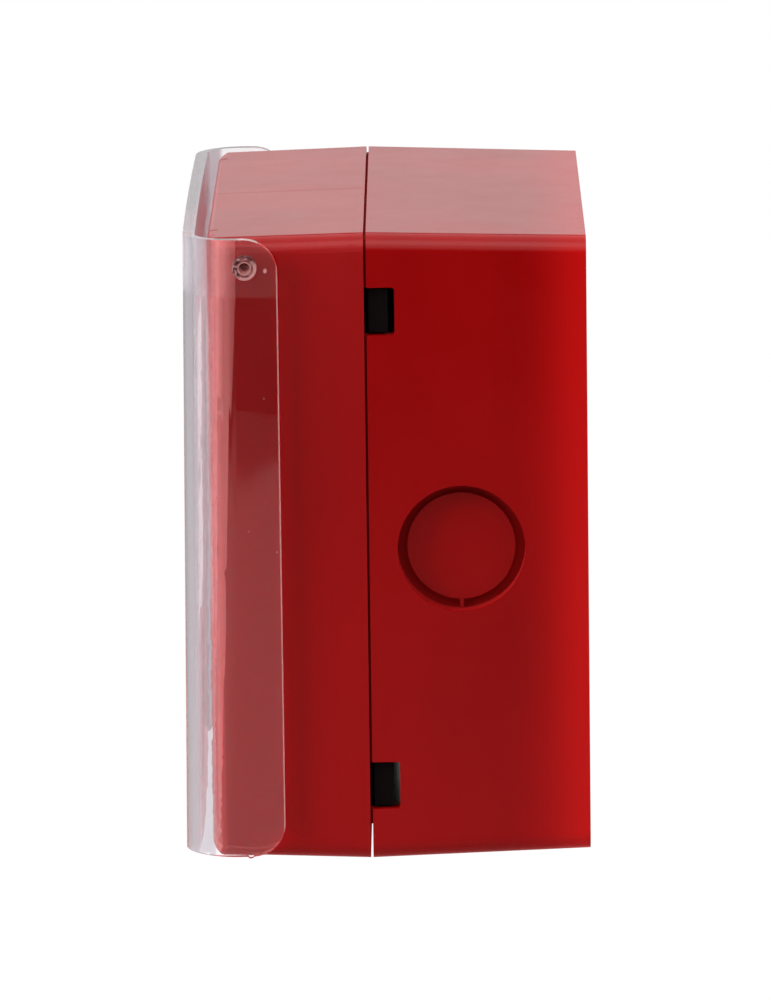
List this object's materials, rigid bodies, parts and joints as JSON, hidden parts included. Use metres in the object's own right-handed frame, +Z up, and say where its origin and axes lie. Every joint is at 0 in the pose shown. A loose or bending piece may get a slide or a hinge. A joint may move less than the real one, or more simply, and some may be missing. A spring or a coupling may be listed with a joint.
{
  "type": "fire alarm call point",
  "caption": "Surface-mounted resettable fire alarm call point: red back box and front, hinged clear cover, tilting press panel, flag, key cam and microswitch.",
  "frame": {"origin": "centre of the back (wall) face of the back box", "axes": "+Z up, -Y out of the wall towards the user, +X to the right as seen from the front; +Y is the wall face's outward normal"},
  "size_m": [0.0894, 0.0595, 0.093],
  "materials": {
    "red_shell": "smooth moulded, light gloss",
    "clear_cover": "clear polycarbonate, polished",
    "black_frame": "fine matte",
    "white_panel": "satin",
    "yellow_flag": "satin",
    "red_button": "satin",
    "spring_steel": "drawn wire and strip",
    "tinned_metal": "tinned",
    "zinc_screws": "bright zinc",
    "brass": "machined",
    "circuit_board": "solder mask",
    "grey_block": "fine matte",
    "lamp": "clear lamp",
    "clear_guide": "clear acrylic",
    "resistor_body": "lacquered"
  },
  "bodies": {
    "base": {"back_box": "red_shell", "front_housing": "red_shell", "face_plate": "red_shell", "chassis": "black_frame", "press_spring": "spring_steel", "flag_spring": "spring_steel", "circuit_board": "circuit_board", "switch_body": "black_frame", "switch_terminals": "tinned_metal", "terminal_block": "grey_block", "terminal_clamps": "tinned_metal", "terminal_screws": "zinc_screws", "status_led": "lamp", "light_guide": "clear_guide", "resistors": "resistor_body", "module_screws": "zinc_screws", "housing_screws": "zinc_screws", "board_screws": "zinc_screws", "earth_terminal": "brass", "earth_screw": "zinc_screws"},
    "cover": {"clear_cover": "clear_cover"},
    "panel": {"press_panel": "white_panel"},
    "flag": {"indicator_flag": "yellow_flag"},
    "cam": {"reset_cam": "black_frame"},
    "lever": {"switch_lever": "spring_steel"},
    "button": {"switch_button": "red_button"}
  },
  "joints": [
    {"name": "cover_hinge", "type": "hinge", "parent": "base", "child": "cover", "pos_m": [0, -0.04945, 0.04195], "axis": [-1, 0, 0], "range_deg": [0, 105]},
    {"name": "panel_tilt", "type": "hinge", "parent": "base", "child": "panel", "pos_m": [0, -0.051, 0.0274], "axis": [1, 0, 0], "range_deg": [0, 4], "stiffness_Nm_per_rad": 0.5, "springref_deg": -2.86, "deforming": ["press_spring"]},
    {"name": "flag_slide", "type": "slide", "parent": "base", "child": "flag", "axis": [0, 0, -1], "range_m": [0, 0.00306], "deforming": ["flag_spring"]},
    {"name": "cam_turn", "type": "hinge", "parent": "base", "child": "cam", "pos_m": [0, -0.05, -0.03], "axis": [0, 1, 0], "range_deg": [0, 42.73]},
    {"name": "lever_swing", "type": "hinge", "parent": "base", "child": "lever", "pos_m": [0.0176, -0.047, 0.0034], "axis": [1, 0, 0], "range_deg": [0, 9.8]},
    {"name": "button_travel", "type": "slide", "parent": "base", "child": "button", "axis": [0, 1, 0], "range_m": [0, 0.00085]}
  ],
  "couplings": [
    {"joint": "flag_slide", "follows": "panel_tilt", "m_per_rad": 0.04383},
    {"joint": "cam_turn", "follows": "panel_tilt", "ratio": 10.682},
    {"joint": "lever_swing", "follows": "panel_tilt", "ratio": 2.45},
    {"joint": "button_travel", "follows": "panel_tilt", "m_per_rad": 0.01217}
  ]
}
